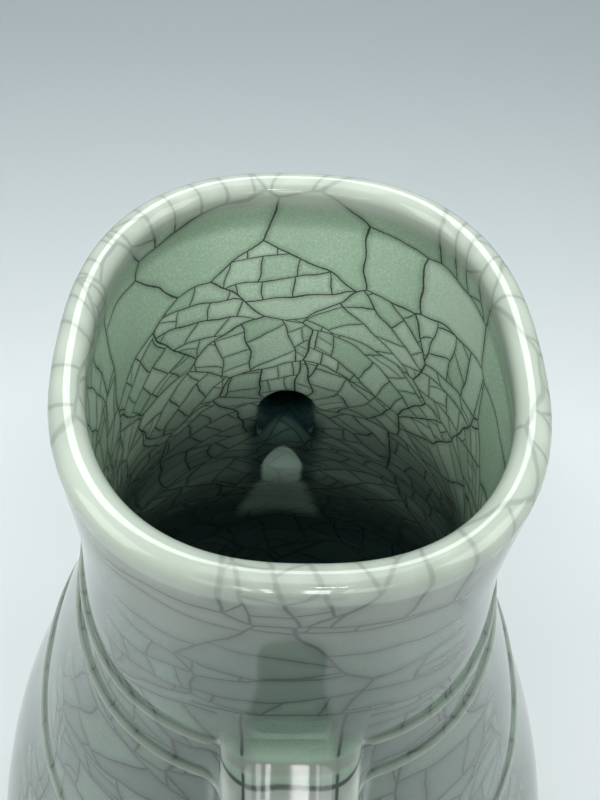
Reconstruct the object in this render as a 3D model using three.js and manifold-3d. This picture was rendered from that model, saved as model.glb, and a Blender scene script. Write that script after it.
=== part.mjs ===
// A crackled celadon vase of rounded rectangular plan: rolled lip, upright neck with two raised
// strings, sloping shoulder with a third string, full belly on a low foot, and a hollow lug
// on each narrow side. Millimetres, +Z up, the vase stands on z = 0, a lug faces -Y and one +Y.

import * as THREE from 'three';
import { mergeVertices } from 'three/addons/utils/BufferGeometryUtils.js';
import Module from 'manifold-3d';

const wasm = await Module();
wasm.setup();

// Heights. What is called a drop is measured down from the top of the lip.
const totalHeight = 360;
const rimDrop = 16;
const waistDrop = 35;
const upperStringDrop = 75.7;
const lowerStringDrop = 91;
const bellyStringDrop = 157;
const bellyHeight = 98;
const footHeight = 14;
const floorThickness = 7;

// Half of the outer width, from side to side, at the same places.
const lipHalfWidth = 54;
const waistHalfWidth = 53.2;
const upperStringHalfWidth = 56.3;
const lowerStringHalfWidth = 59.3;
const bellyStringHalfWidth = 80;
const bellyHalfWidth = 110;
const ankleHalfWidth = 72;
const footHalfWidth = 75;

// The plan is a superellipse, squarer and deeper at the mouth than at the body.
const mouthDepthRatio = 1.16;
const bodyDepthRatio = 1.06;
const mouthSquareness = 2.44;
const bodySquareness = 2.2;

// Walls.
const lipRadius = 3.8;
const neckWall = 5.6;
const bodyWall = 6.4;
const footWall = 9;
const footBevel = 1.2;

// How much of a quarter ellipse the underside of the belly runs through before it meets the foot.
const bellyTuck = 0.92;

// Raised strings, each a band laid in a shallow seat round the wall.
const stringHeight = 4;
const stringProud = 1.5;
const stringEdge = 0.25;
const seatDepth = 1.1;
const seatClearance = 0.3;

// Lugs. Each is a hollow boss on a panel that is let into an opening in the wall.
const lugHalfWidth = 17.2;
const lugReach = 84;
const lugSpringDrop = 91;
const lugCrown = 25;
const lugSquareness = 4;
const lugEdgeTightness = 7;
const lugWall = 6.3;
const hollowHalfWidth = 10.4;
const hollowSpringDrop = 100;
const hollowCrown = 16;
const hollowRoundness = 2.6;
const panelHalfWidth = 22;
const panelSpringDrop = 80;
const panelCrown = 23;
const panelBottomDrop = 144;
const panelClearance = 0.3;
const panelSquareness = 3;
const skirtRise = 5;
const lugBlend = 4;
const hollowBlend = 5;
const lugFade = 39;

// The share of the panel's crown that is kept, so that it ends in a short straight edge.
const crownKept = 0.985;

// Facets: round the plan, along a string, up a course, round the lip, over a string, up a panel.
const planSteps = 48;
const stringSteps = 18;
const courseLevels = 7;
const rimLevels = 2;
const rollSteps = 8;
const swellSteps = 4;
const panelLevels = 18;

// Columns across a lug's panel, as shares of its half-width, closest where the lug's side rises.
const panelColumns = [0, 0.24, 0.43, 0.49, 0.62, 0.7, 0.745, 0.772, 0.79, 0.87, 1];

// Places worked out from the sizes above.
const rimSeam = totalHeight - rimDrop;
const lipCentre = totalHeight - lipRadius;
const upperString = totalHeight - upperStringDrop;
const lowerString = totalHeight - lowerStringDrop;
const bellyString = totalHeight - bellyStringDrop;
const floorTop = footHeight + floorThickness;
const lugSpring = totalHeight - lugSpringDrop;
const hollowSpring = totalHeight - hollowSpringDrop;
const panelSpring = totalHeight - panelSpringDrop;
const panelBottom = totalHeight - panelBottomDrop;
const strings = [upperString, lowerString, bellyString];

// The outer half-width at each height, from the belly up.
const stations = [
  [bellyHeight, bellyHalfWidth],
  [bellyString, bellyStringHalfWidth],
  [lowerString, lowerStringHalfWidth],
  [upperString, upperStringHalfWidth],
  [totalHeight - waistDrop, waistHalfWidth],
  [lipCentre, lipHalfWidth],
];

const glaze = { color: 0x9db8a3, roughness: 0.12, metalness: 0 };
const rimGlaze = { color: 0xc9d6c4, roughness: 0.1, metalness: 0 };
const biscuit = { color: 0x8a7560, roughness: 0.8, metalness: 0 };

const lerp = THREE.MathUtils.lerp;
const clamp = THREE.MathUtils.clamp;

// Slopes of a smooth curve through the stations that keeps each high and low point where it is.
function stationSlopes(points) {
  const chords = points.slice(1).map((p, i) => (p[1] - points[i][1]) / (p[0] - points[i][0]));
  return points.map((p, i) => {
    if (i === 0) return 0;
    if (i === points.length - 1) return chords[i - 1];
    const before = chords[i - 1];
    const after = chords[i];
    return before * after <= 0 ? 0 : (2 * before * after) / (before + after);
  });
}

const slopes = stationSlopes(stations);

// The flare of the foot, then the rounded underside of the belly.
function lowHalfWidth(z) {
  if (z < footHeight) return lerp(footHalfWidth, ankleHalfWidth, z / footHeight);
  const drop = (arc) => 1 - Math.sqrt(1 - arc * arc);
  const arc = (bellyTuck * (bellyHeight - z)) / (bellyHeight - footHeight);
  return lerp(bellyHalfWidth, ankleHalfWidth, drop(arc) / drop(bellyTuck));
}

function halfWidthAt(z) {
  if (z < bellyHeight) return lowHalfWidth(z);
  let i = 0;
  while (i < stations.length - 2 && z > stations[i + 1][0]) i += 1;
  const [z0, w0] = stations[i];
  const [z1, w1] = stations[i + 1];
  const span = z1 - z0;
  const t = clamp((z - z0) / span, 0, 1);
  const rise = (1 + 2 * t) * (1 - t) ** 2;
  const lift = t * (1 - t) ** 2 * span * slopes[i] - t * t * (1 - t) * span * slopes[i + 1];
  return w0 * rise + w1 * (1 - rise) + lift;
}

// How far a height lies on the way from the belly string (0) to the lip (1).
function mouthShare(z) {
  return clamp((z - bellyString) / (totalHeight - bellyString), 0, 1);
}

function planAt(z, inset) {
  const share = mouthShare(z);
  const half = halfWidthAt(z);
  return {
    x: half - inset,
    y: half * lerp(bodyDepthRatio, mouthDepthRatio, share) - inset,
    power: lerp(bodySquareness, mouthSquareness, share),
  };
}

// A point of the plan curve at a height, an inset from the outer wall and an angle.
function planPoint(angle, z, inset) {
  const plan = planAt(z, inset);
  const c = Math.cos(angle);
  const s = Math.sin(angle);
  const x = plan.x * Math.sign(c) * Math.abs(c) ** (2 / plan.power);
  const y = plan.y * Math.sign(s) * Math.abs(s) ** (2 / plan.power);
  return [x, y, z];
}

// Distance of the wall from the long plane through the axis, at a width and a height.
function wallReach(x, z, inset) {
  const plan = planAt(z, inset);
  return plan.y * (1 - Math.abs(x / plan.x) ** plan.power) ** (1 / plan.power);
}

// A closed mesh from corner points and faces, turned outside out if its volume is negative.
function closedGeometry(points, faces) {
  const triangles = [];
  faces.forEach((face) => {
    for (let i = 2; i < face.length; i += 1) triangles.push([face[0], face[i - 1], face[i]]);
  });
  let volume = 0;
  triangles.forEach(([a, b, c]) => {
    const [p, q, r] = [points[a], points[b], points[c]];
    volume += p[0] * (q[1] * r[2] - q[2] * r[1]);
    volume += p[1] * (q[2] * r[0] - q[0] * r[2]);
    volume += p[2] * (q[0] * r[1] - q[1] * r[0]);
  });
  const index = triangles.flatMap(([a, b, c]) => (volume < 0 ? [a, c, b] : [a, b, c]));
  const geometry = new THREE.BufferGeometry();
  geometry.setAttribute('position', new THREE.Float32BufferAttribute(points.flat(), 3));
  geometry.setIndex(index);
  return geometry;
}

// A ring-shaped solid: a closed cross-section of [height, inset] corners carried round the plan.
function courseGeometry(section) {
  const points = [];
  const faces = [];
  const n = section.length;
  for (let i = 0; i < planSteps; i += 1) {
    const angle = (i / planSteps) * 2 * Math.PI;
    section.forEach(([z, inset]) => points.push(planPoint(angle, z, inset)));
  }
  for (let i = 0; i < planSteps; i += 1) {
    const next = (i + 1) % planSteps;
    for (let k = 0; k < n; k += 1) {
      const after = (k + 1) % n;
      faces.push([i * n + k, next * n + k, next * n + after, i * n + after]);
    }
  }
  return closedGeometry(points, faces);
}

// A bar-shaped solid: the same kind of cross-section carried along part of the plan, with ends.
function barGeometry(section, from, to, steps) {
  const points = [];
  const faces = [];
  const n = section.length;
  for (let i = 0; i <= steps; i += 1) {
    const angle = lerp(from, to, i / steps);
    section.forEach(([z, inset]) => points.push(planPoint(angle, z, inset)));
  }
  for (let i = 0; i < steps; i += 1) {
    for (let k = 0; k < n; k += 1) {
      const after = (k + 1) % n;
      faces.push([i * n + k, (i + 1) * n + k, (i + 1) * n + after, i * n + after]);
    }
  }
  faces.push(section.map((corner, k) => k));
  faces.push(section.map((corner, k) => steps * n + n - 1 - k));
  return closedGeometry(points, faces);
}

// A panel-shaped solid between two surfaces that share one grid, each a function of (u, v).
function panelGeometry(front, back, columns, rows) {
  const points = [];
  const faces = [];
  const width = columns.length;
  const height = rows.length;
  [front, back].forEach((surface) => {
    rows.forEach((v) => columns.forEach((u) => points.push(surface(u, v))));
  });
  const layer = width * height;
  const at = (side, i, j) => side * layer + j * width + i;
  for (let j = 0; j < height - 1; j += 1) {
    for (let i = 0; i < width - 1; i += 1) {
      faces.push([at(0, i, j), at(0, i + 1, j), at(0, i + 1, j + 1), at(0, i, j + 1)]);
      faces.push([at(1, i, j), at(1, i, j + 1), at(1, i + 1, j + 1), at(1, i + 1, j)]);
    }
  }
  for (let i = 0; i < width - 1; i += 1) {
    const top = height - 1;
    faces.push([at(0, i, 0), at(1, i, 0), at(1, i + 1, 0), at(0, i + 1, 0)]);
    faces.push([at(0, i, top), at(0, i + 1, top), at(1, i + 1, top), at(1, i, top)]);
  }
  for (let j = 0; j < height - 1; j += 1) {
    const end = width - 1;
    faces.push([at(0, 0, j), at(0, 0, j + 1), at(1, 0, j + 1), at(1, 0, j)]);
    faces.push([at(0, end, j), at(1, end, j), at(1, end, j + 1), at(0, end, j + 1)]);
  }
  return closedGeometry(points, faces);
}

function toManifold(geometry) {
  const bare = geometry.clone();
  bare.deleteAttribute('normal');
  bare.deleteAttribute('uv');
  const merged = mergeVertices(bare, 1e-4);
  return new wasm.Manifold(new wasm.Mesh({
    numProp: 3,
    vertProperties: new Float32Array(merged.attributes.position.array),
    triVerts: new Uint32Array(merged.index.array),
  }));
}

function fromManifold(solid) {
  const mesh = solid.getMesh();
  const geometry = new THREE.BufferGeometry();
  geometry.setAttribute('position', new THREE.BufferAttribute(mesh.vertProperties, 3));
  geometry.setIndex(new THREE.BufferAttribute(mesh.triVerts, 1));
  return geometry;
}

// Evenly spaced numbers from one value to another, both included.
function spaced(from, to, count) {
  return Array.from({ length: count + 1 }, (unused, i) => lerp(from, to, i / count));
}

// The wall thickness at a height: thicker below, and swelling into the lip at the mouth.
function wallAt(z) {
  if (z > rimSeam) {
    const t = clamp((z - rimSeam) / (lipCentre - rimSeam), 0, 1);
    return lerp(neckWall, 2 * lipRadius, t * t * (3 - 2 * t));
  }
  return lerp(bodyWall, neckWall, mouthShare(z));
}

// Corners of the seat that a string lies in, from its bottom to its top, cut to a course.
function seatCorners(centre, low, high) {
  const bottom = Math.max(centre - stringHeight / 2, low);
  const top = Math.min(centre + stringHeight / 2, high);
  const corners = [[bottom, seatDepth], [top, seatDepth]];
  if (bottom > low) corners.unshift([bottom, 0]);
  if (top < high) corners.push([top, 0]);
  return corners;
}

// Cross-section of a course of the wall between two seams, with the seats that reach into it.
function courseSection(low, high) {
  const reach = stringHeight / 2;
  const seats = strings.filter((centre) => centre + reach > low && centre - reach < high);
  const clear = (z) => seats.every((centre) => Math.abs(z - centre) > reach + 1);
  const outer = spaced(low, high, courseLevels).filter(clear).map((z) => [z, 0]);
  seats.forEach((centre) => outer.push(...seatCorners(centre, low, high)));
  outer.sort((a, b) => a[0] - b[0] || cornerOrder(a, b, seats));
  const inner = spaced(high, low, courseLevels).map((z) => [z, wallAt(z)]);
  return [...outer, ...inner];
}

// Two corners at one height: going up, the wall steps in below a seat's middle and out above it.
function cornerOrder(a, b, seats) {
  const middle = seats.find((centre) => Math.abs(centre - a[0]) <= stringHeight / 2 + 1e-6);
  return a[0] < middle ? a[1] - b[1] : b[1] - a[1];
}

function mouthRimSection() {
  const outer = spaced(rimSeam, lipCentre, rimLevels).map((z) => [z, 0]);
  const roll = spaced(0, Math.PI, rollSteps).slice(1, -1).map((turn) => {
    return [lipCentre + lipRadius * Math.sin(turn), lipRadius * (1 - Math.cos(turn))];
  });
  const inner = spaced(lipCentre, rimSeam, rimLevels + 1).map((z) => [z, wallAt(z)]);
  return [...outer, ...roll, ...inner];
}

function stringSection(centre) {
  const half = stringHeight / 2;
  const back = seatDepth - seatClearance;
  const swell = spaced(-Math.PI / 2, Math.PI / 2, swellSteps).map((turn) => {
    return [centre + half * Math.sin(turn), -stringEdge - (stringProud - stringEdge) * Math.cos(turn)];
  });
  return [[centre - half, back], ...swell, [centre + half, back]];
}

// The larger of two distances, with the corner between them rounded off over a blend width.
function smoothMax(a, b, blend) {
  const overlap = Math.max(blend - Math.abs(a - b), 0) / blend;
  return Math.max(a, b) + (overlap * overlap * blend) / 4;
}

// 0 on the middle line of an upright arch, 1 on its outline, larger outside.
function archDistance(x, z, halfWidth, spring, crown, squareness) {
  const across = Math.abs(x) / halfWidth;
  const above = Math.max(z - spring, 0) / crown;
  return (across ** squareness + above ** squareness) ** (1 / squareness);
}

// How far round the edge of a flat-topped swelling a place lies: 1 in its middle, 0 at its foot.
function edgeShare(d, tightness) {
  return d >= 1 ? 0 : (1 - d ** tightness) ** (1 / tightness);
}

// Height of the concave skirt between the lug's outline and the panel's edge.
function skirtAt(x, z) {
  const lug = archDistance(x, z, lugHalfWidth, lugSpring, lugCrown, lugSquareness) - 1;
  const panel = 1 - archDistance(x, z, panelHalfWidth, panelSpring, panelCrown, panelSquareness);
  if (panel <= 0) return 0;
  const t = lug <= 0 ? 0 : lug / (lug + panel);
  return skirtRise * (1 - t) ** 2;
}

// The skirt and the lug fade out where the shoulder comes out to meet them.
function fadeAt(z) {
  return THREE.MathUtils.smoothstep(z, panelBottom, panelBottom + lugFade);
}

// The lug swells out of the neck in an even curve down its crown, with tight corners at its sides.
function lugFace(x, z) {
  const wall = wallReach(x, z, 0);
  const d = archDistance(x, z, lugHalfWidth, lugSpring, lugCrown, lugSquareness);
  const down = 1 - THREE.MathUtils.smoothstep(z, lugSpring, lugSpring + lugCrown);
  const root = wall - lugBlend;
  const boss = root + (lugReach - root) * down * edgeShare(d, lugEdgeTightness);
  const skirted = wall + skirtAt(x, z);
  return lerp(wall, smoothMax(skirted, boss, lugBlend), fadeAt(z));
}

function hollowFace(x, z) {
  const wall = wallReach(x, z, wallAt(z));
  const reach = lugReach - lugWall;
  const root = wall - bodyWall;
  const d = archDistance(x, z, hollowHalfWidth, hollowSpring, hollowCrown, panelSquareness);
  const hollow = d < 1 ? root + (reach - root) * edgeShare(d, hollowRoundness) : root;
  return lerp(wall, smoothMax(wall, hollow, hollowBlend), fadeAt(z));
}

// Half-width of the panel at a height; margin widens it into the opening that it sits in.
function panelEdge(z, margin) {
  const above = Math.max(z - panelSpring, 0) / panelCrown;
  return panelHalfWidth * (1 - above ** panelSquareness) ** (1 / panelSquareness) + margin;
}

const panelTop = panelSpring + crownKept * panelCrown;
const bothSides = [...panelColumns.slice(1).reverse().map((u) => -u), ...panelColumns];
const panelRows = spaced(0, 1, panelLevels);

function lugGeometry(side) {
  const place = (face) => (u, v) => {
    const z = lerp(panelBottom, panelTop, v);
    const x = u * panelEdge(z, 0);
    return [x, side * face(x, z), z];
  };
  return panelGeometry(place(lugFace), place(hollowFace), bothSides, panelRows);
}

// The opening in the wall, cut with the panel's outline and a clearance all round.
function panelCutter(side) {
  const plane = (reach) => (u, v) => {
    const z = lerp(panelBottom, panelTop, v);
    const margin = v === 1 || v === 0 ? panelClearance : 0;
    const rise = v === 1 ? margin : -margin;
    return [u * panelEdge(z, panelClearance), side * reach, z + rise];
  };
  const inside = wallReach(panelHalfWidth, panelTop, 0) / 2;
  return panelGeometry(plane(lugReach + bodyWall), plane(inside), [-1, 0, 1], panelRows);
}

function cutForLugs(geometry) {
  const front = toManifold(panelCutter(-1));
  const back = toManifold(panelCutter(1));
  return fromManifold(toManifold(geometry).subtract(front).subtract(back));
}

// The angle at which a string stops beside the lug's panel.
function stringEndAngle(centre) {
  const plan = planAt(centre, 0);
  const stop = panelEdge(centre - stringHeight / 2, panelClearance) + seatDepth;
  return Math.acos((stop / plan.x) ** (plan.power / 2));
}

function stringGeometry(centre, side) {
  const end = stringEndAngle(centre);
  const middle = side > 0 ? 0 : Math.PI;
  return barGeometry(stringSection(centre), middle - end, middle + end, stringSteps);
}

function footRingSection() {
  const outer = spaced(footBevel, footHeight, 3).map((z) => [z, 0]);
  const inner = [[footHeight, footWall], [footBevel, footWall]];
  return [...outer, ...inner, [0, footWall - footBevel], [0, footBevel]];
}

// The floor closes the vase above the foot: a slab whose edge follows the outer wall.
function floorGeometry() {
  const points = [[0, 0, footHeight], [0, 0, floorTop]];
  const faces = [];
  const at = (i, level) => 2 + 2 * (i % planSteps) + level;
  for (let i = 0; i < planSteps; i += 1) {
    const angle = (i / planSteps) * 2 * Math.PI;
    points.push(planPoint(angle, footHeight, 0), planPoint(angle, floorTop, 0));
    faces.push([0, at(i + 1, 0), at(i, 0)]);
    faces.push([1, at(i, 1), at(i + 1, 1)]);
    faces.push([at(i, 0), at(i + 1, 0), at(i + 1, 1), at(i, 1)]);
  }
  return closedGeometry(points, faces);
}

const group = new THREE.Group();

function addPiece(name, geometry, finish) {
  const mesh = new THREE.Mesh(geometry, new THREE.MeshStandardMaterial(finish));
  mesh.name = name;
  group.add(mesh);
}

addPiece('mouth_rim', courseGeometry(mouthRimSection()), rimGlaze);
addPiece('neck', cutForLugs(courseGeometry(courseSection(lowerString, rimSeam))), glaze);
addPiece('shoulder', cutForLugs(courseGeometry(courseSection(bellyString, lowerString))), glaze);
addPiece('upper_belly', courseGeometry(courseSection(bellyHeight, bellyString)), glaze);
addPiece('lower_belly', courseGeometry(courseSection(floorTop, bellyHeight)), glaze);
addPiece('base_floor', floorGeometry(), glaze);
addPiece('foot_ring', courseGeometry(footRingSection()), biscuit);
addPiece('belly_string', courseGeometry(stringSection(bellyString)), glaze);

[['right', 1], ['left', -1]].forEach(([hand, side]) => {
  addPiece(`upper_string_${hand}`, stringGeometry(upperString, side), glaze);
  addPiece(`lower_string_${hand}`, stringGeometry(lowerString, side), glaze);
});

[['front', -1], ['back', 1]].forEach(([face, side]) => {
  addPiece(`${face}_lug`, lugGeometry(side), glaze);
});

export default group;
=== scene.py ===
import math
import bpy
import numpy as np
from mathutils import Matrix, Vector


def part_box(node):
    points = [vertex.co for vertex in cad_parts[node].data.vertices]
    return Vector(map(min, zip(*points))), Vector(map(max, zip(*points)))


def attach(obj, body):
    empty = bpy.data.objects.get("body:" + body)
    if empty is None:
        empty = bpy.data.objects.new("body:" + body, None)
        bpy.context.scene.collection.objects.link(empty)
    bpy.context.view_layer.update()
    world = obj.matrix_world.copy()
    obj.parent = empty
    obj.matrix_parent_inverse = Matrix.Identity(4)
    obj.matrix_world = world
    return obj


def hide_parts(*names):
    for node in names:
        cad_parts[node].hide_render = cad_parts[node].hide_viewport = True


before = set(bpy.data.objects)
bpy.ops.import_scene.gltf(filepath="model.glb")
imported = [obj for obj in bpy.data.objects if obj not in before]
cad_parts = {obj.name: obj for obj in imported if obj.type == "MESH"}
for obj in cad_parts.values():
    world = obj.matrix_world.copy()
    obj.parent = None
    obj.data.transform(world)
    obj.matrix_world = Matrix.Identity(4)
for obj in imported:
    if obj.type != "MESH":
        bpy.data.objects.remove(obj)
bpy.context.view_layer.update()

print("frame loaded:", len(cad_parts), "pieces")


def lowest(node):
    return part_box(node)[0]


def highest(node):
    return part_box(node)[1]


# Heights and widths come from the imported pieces; what they don't show is written here, in metres.
vase = {
    "top": highest("mouth_rim").z,
    "rimSeam": lowest("mouth_rim").z,
    "upperString": (lowest("upper_string_right").z + highest("upper_string_right").z) / 2,
    "lowerString": lowest("neck").z,
    "bellyString": lowest("shoulder").z,
    "bellyHeight": lowest("upper_belly").z,
    "floorTop": lowest("lower_belly").z,
    "footHeight": lowest("base_floor").z,
    "lipHalf": highest("mouth_rim").x,
    "bellyHalf": highest("upper_belly").x,
    "footHalf": highest("foot_ring").x,
    "waistDrop": 0.035, "waistHalf": 0.0532,
    "upperStringHalf": 0.0563, "lowerStringHalf": 0.0593, "bellyStringHalf": 0.080,
    "ankleHalf": 0.072,
    "bellyTuck": 0.92,  # share of a quarter ellipse in the belly's underside
    "mouthDepth": 1.16, "bodyDepth": 1.06,  # depth over width of the plan, above and below
    "mouthPower": 2.44, "bodyPower": 2.2,  # squareness of the plan there
    "lipRadius": 0.0038, "neckWall": 0.0056, "bodyWall": 0.0064, "footWall": 0.009,
}
top = vase["top"]
lipCentre = top - vase["lipRadius"]

strings = {
    "heights": [vase["upperString"], vase["lowerString"], vase["bellyString"]],
    "half": 0.002,  # half the height of the band that is its own piece
    "proud": 0.0013,
    "reach": 0.0027,  # how far its soft shoulder runs up and down the wall
    "narrow": 1.6,  # the power that narrows its crest
    "seat": 0.0011,
    "clearance": 0.0003,
}

lug = {
    "half": 0.0172,
    "reach": highest("back_lug").y,
    "spring": top - 0.091, "crown": 0.033,  # where its outline starts to arch, how far it rises
    "slope": 0.031, "slopeRise": 1.15, "slopePower": 2.1,  # the hollow slope at its top
    "crownEdge": 0.006,
    "square": 4.0, "tight": 3.2,  # the higher, the squarer its arch and the tighter its side edges
    "wall": 0.0063,
    "hollowHalf": 0.0106, "hollowSpring": top - 0.100, "hollowCrown": 0.016,
    "hollowBell": 0.62, "hollowDrop": 0.004, "hollowFade": 0.037,
    "grooveDepth": 0.0032, "grooveBottom": top - 0.178, "grooveRun": 0.034,
    "panelBottom": lowest("back_lug").z, "panelTop": highest("back_lug").z,
    "panelHalf": highest("back_lug").x, "panelSpring": top - 0.080, "panelCrown": 0.023,
    "panelSquare": 3.0,
    "skirt": 0.005, "skirtBelow": 0.004, "skirtRun": 0.018,  # the soft foot of its sides
    "ridgeFade": 1.3,  # how soon a string runs out on its panel
    "blend": 0.004, "fade": 0.039,
}

# The half-width of the wall at each height: a smooth curve through stations, and below the
# belly a part of a quarter ellipse that comes in to the foot.
stationHeights = np.array([vase["bellyHeight"], vase["bellyString"], vase["lowerString"],
                           vase["upperString"], top - vase["waistDrop"], lipCentre])
stationHalves = np.array([vase["bellyHalf"], vase["bellyStringHalf"], vase["lowerStringHalf"],
                          vase["upperStringHalf"], vase["waistHalf"], vase["lipHalf"]])

# Its slope at each station is the harmonic mean of the two chords there, or none at a waist.
chords = np.diff(stationHalves) / np.diff(stationHeights)
alike = chords[:-1] * chords[1:] > 0
total = np.where(alike, chords[:-1] + chords[1:], 1)
middle = np.where(alike, 2 * chords[:-1] * chords[1:] / total, 0)
slopes = np.concatenate([[0], middle, [chords[-1]]])


def halfWidth(z):
    k = np.clip(np.searchsorted(stationHeights, z, side="left") - 1, 0, len(stationHeights) - 2)
    span = stationHeights[k + 1] - stationHeights[k]
    t = np.clip((z - stationHeights[k]) / span, 0, 1)
    rise = (1 + 2 * t) * (1 - t) ** 2
    lift = span * (t * (1 - t) ** 2 * slopes[k] - t * t * (1 - t) * slopes[k + 1])
    upper = stationHalves[k] * rise + stationHalves[k + 1] * (1 - rise) + lift
    belly, base, tuck = vase["bellyHeight"], vase["footHeight"], vase["bellyTuck"]
    arc = np.clip(tuck * (belly - z) / (belly - base), 0, tuck)
    share = (1 - np.sqrt(1 - arc**2)) / (1 - math.sqrt(1 - tuck**2))
    lower = vase["bellyHalf"] + (vase["ankleHalf"] - vase["bellyHalf"]) * share
    foot = vase["footHalf"] + (vase["ankleHalf"] - vase["footHalf"]) * z / base
    return np.where(z < base, foot, np.where(z < belly, lower, upper))


def mouthShare(z):
    return np.clip((z - vase["bellyString"]) / (top - vase["bellyString"]), 0, 1)


def planAt(z, inset):
    share = mouthShare(z)
    half = halfWidth(z)
    depth = half * (vase["bodyDepth"] + (vase["mouthDepth"] - vase["bodyDepth"]) * share)
    power = vase["bodyPower"] + (vase["mouthPower"] - vase["bodyPower"]) * share
    return half - inset, depth - inset, power


def wallReach(x, z, inset):
    a, b, power = planAt(z, inset)
    return b * (1 - np.abs(x / a) ** power) ** (1 / power)


def smoothStep(t):
    t = np.clip(t, 0, 1)
    return t * t * (3 - 2 * t)


def wallAt(z):
    swell = smoothStep((z - vase["rimSeam"]) / (lipCentre - vase["rimSeam"]))
    body = vase["bodyWall"] + (vase["neckWall"] - vase["bodyWall"]) * mouthShare(z)
    lip = vase["neckWall"] + (2 * vase["lipRadius"] - vase["neckWall"]) * swell
    return np.where(z > vase["rimSeam"], lip, body)


def stringSwell(z):
    # a soft ridge: a bell of one cosine wave, narrowed at its crest
    swell = np.zeros_like(z)
    for height in strings["heights"]:
        t = np.clip(np.abs(z - height) / strings["reach"], 0, 1)
        swell = swell + strings["proud"] * (0.5 + 0.5 * np.cos(math.pi * t)) ** strings["narrow"]
    return swell


def smoothMax(a, b, blend):
    overlap = np.maximum(blend - np.abs(a - b), 0) / blend
    return np.maximum(a, b) + overlap**2 * blend / 4


def archDistance(x, z, half, spring, crown, square):
    # 1 on an outline with upright sides and a rounded arch, less within it
    aside, above = np.abs(x) / half, np.maximum(z - spring, 0) / crown
    return (aside**square + above**square) ** (1 / square)


def lugDistance(x, z):
    return archDistance(x, z, lug["half"], lug["spring"], lug["crown"], lug["square"])


def skirtShare(x, z):
    # 0 on the lug's outline, 1 at the edge of its panel
    edge = archDistance(x, z, lug["panelHalf"], lug["panelSpring"], lug["panelCrown"],
                        lug["panelSquare"])
    beyond, before = np.maximum(lugDistance(x, z) - 1, 0), 1 - edge
    return np.where(before <= 0, 1, beyond / np.maximum(beyond + before, 1e-9))


def lugFace(x, z):
    # the wall, and on it a swelling: its top runs out in a hollow slope, a power of the way down,
    # to a rounded edge, and its sides have tight corners
    share, tight = skirtShare(x, z), lug["tight"]
    fade = smoothStep((z - lug["panelBottom"]) / lug["fade"])
    ridge = stringSwell(z) * (1 - fade * (1 - smoothStep(share * lug["ridgeFade"])))
    wall = wallReach(x, z, -ridge)
    root = wall - lug["blend"]
    full = lug["reach"] - root
    down = np.clip((lug["spring"] + lug["crown"] - z) / lug["slope"], 0, None)
    rise = full * lug["slopeRise"] * np.minimum(down, 2) ** lug["slopePower"]
    edge = (1 - np.clip(lugDistance(x, z), 0, 1) ** tight) ** (1 / tight)
    boss = root - smoothMax(-rise, -full, lug["crownEdge"]) * edge
    low = 1 - smoothStep((z - lug["spring"] + lug["skirtBelow"]) / lug["skirtRun"])
    skirted = wall + lug["skirt"] * low * (1 - share) ** 2
    return wall + (smoothMax(skirted, boss, lug["blend"]) - wall) * fade


def hollowFace(x, z):
    # the wall, and in it a channel with soft flanks: a bell of one cosine wave across it and over
    # its crown; a shallow groove carries it on down the wall
    wall = wallReach(x, z, wallAt(z))
    d = archDistance(x, z, lug["hollowHalf"], lug["hollowSpring"], lug["hollowCrown"], 2.0)
    bell = (0.5 + 0.5 * np.cos(math.pi * np.clip(d, 0, 1))) ** lug["hollowBell"]
    fade = smoothStep((z - lug["panelBottom"] + lug["hollowDrop"]) / lug["hollowFade"])
    deep = (lug["reach"] - lug["wall"] - wall) * fade
    groove = lug["grooveDepth"] * smoothStep((z - lug["grooveBottom"]) / lug["grooveRun"])
    return wall + smoothMax(deep, groove, lug["grooveDepth"]) * bell


grid = {
    "lugColumns": 81, "sideColumns": 110, "rollSteps": 22, "samples": 481,
    "coarse": 0.0022, "middle": 0.0012, "fine": 0.00055, "string": 0.00034,
    "fineBelow": 0.004, "fineAbove": 0.001,
    "same": 1e-7,  # heights this close are one height
}
backStart = grid["lugColumns"] + grid["sideColumns"]
columnCount = 2 * backStart
fineFrom, fineTo = lug["hollowSpring"] - grid["fineBelow"], lug["panelTop"] + grid["fineAbove"]


def spacingAt(z):
    if any(abs(z - height) < strings["reach"] for height in strings["heights"]):
        return grid["string"]
    if fineFrom < z < fineTo:
        return grid["fine"]
    return grid["middle"] if z > lug["panelBottom"] else grid["coarse"]


def levels():
    # every height at which a piece or a spacing starts or ends, and evenly spaced ones between
    stops = [vase[k] for k in ("footHeight", "floorTop", "bellyHeight", "rimSeam")] + [lipCentre]
    stops += [lug["panelBottom"], lug["panelTop"], fineFrom, fineTo]
    for height in strings["heights"]:
        stops += [height, height - strings["half"], height + strings["half"]]
        stops += [height - strings["reach"], height + strings["reach"]]
    stops = sorted(set(round(s, 7) for s in stops))
    parts = []
    for low, high in zip(stops[:-1], stops[1:]):
        count = max(1, math.ceil((high - low) / spacingAt((low + high) / 2)))
        parts.append(np.linspace(low, high, count + 1)[:-1])
    return np.concatenate(parts + [[stops[-1]]])


def evenlyAlong(value, x, y, count):
    # a value along curves, one a row, read at equal steps along them
    step = np.hypot(np.diff(x, axis=1), np.diff(y, axis=1))
    along = np.concatenate([np.zeros((len(x), 1)), np.cumsum(step, axis=1)], axis=1)
    along /= along[:, -1:]
    even = np.linspace(0, 1, count)
    return np.array([np.interp(even, s, row) for s, row in zip(along, value)])


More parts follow.
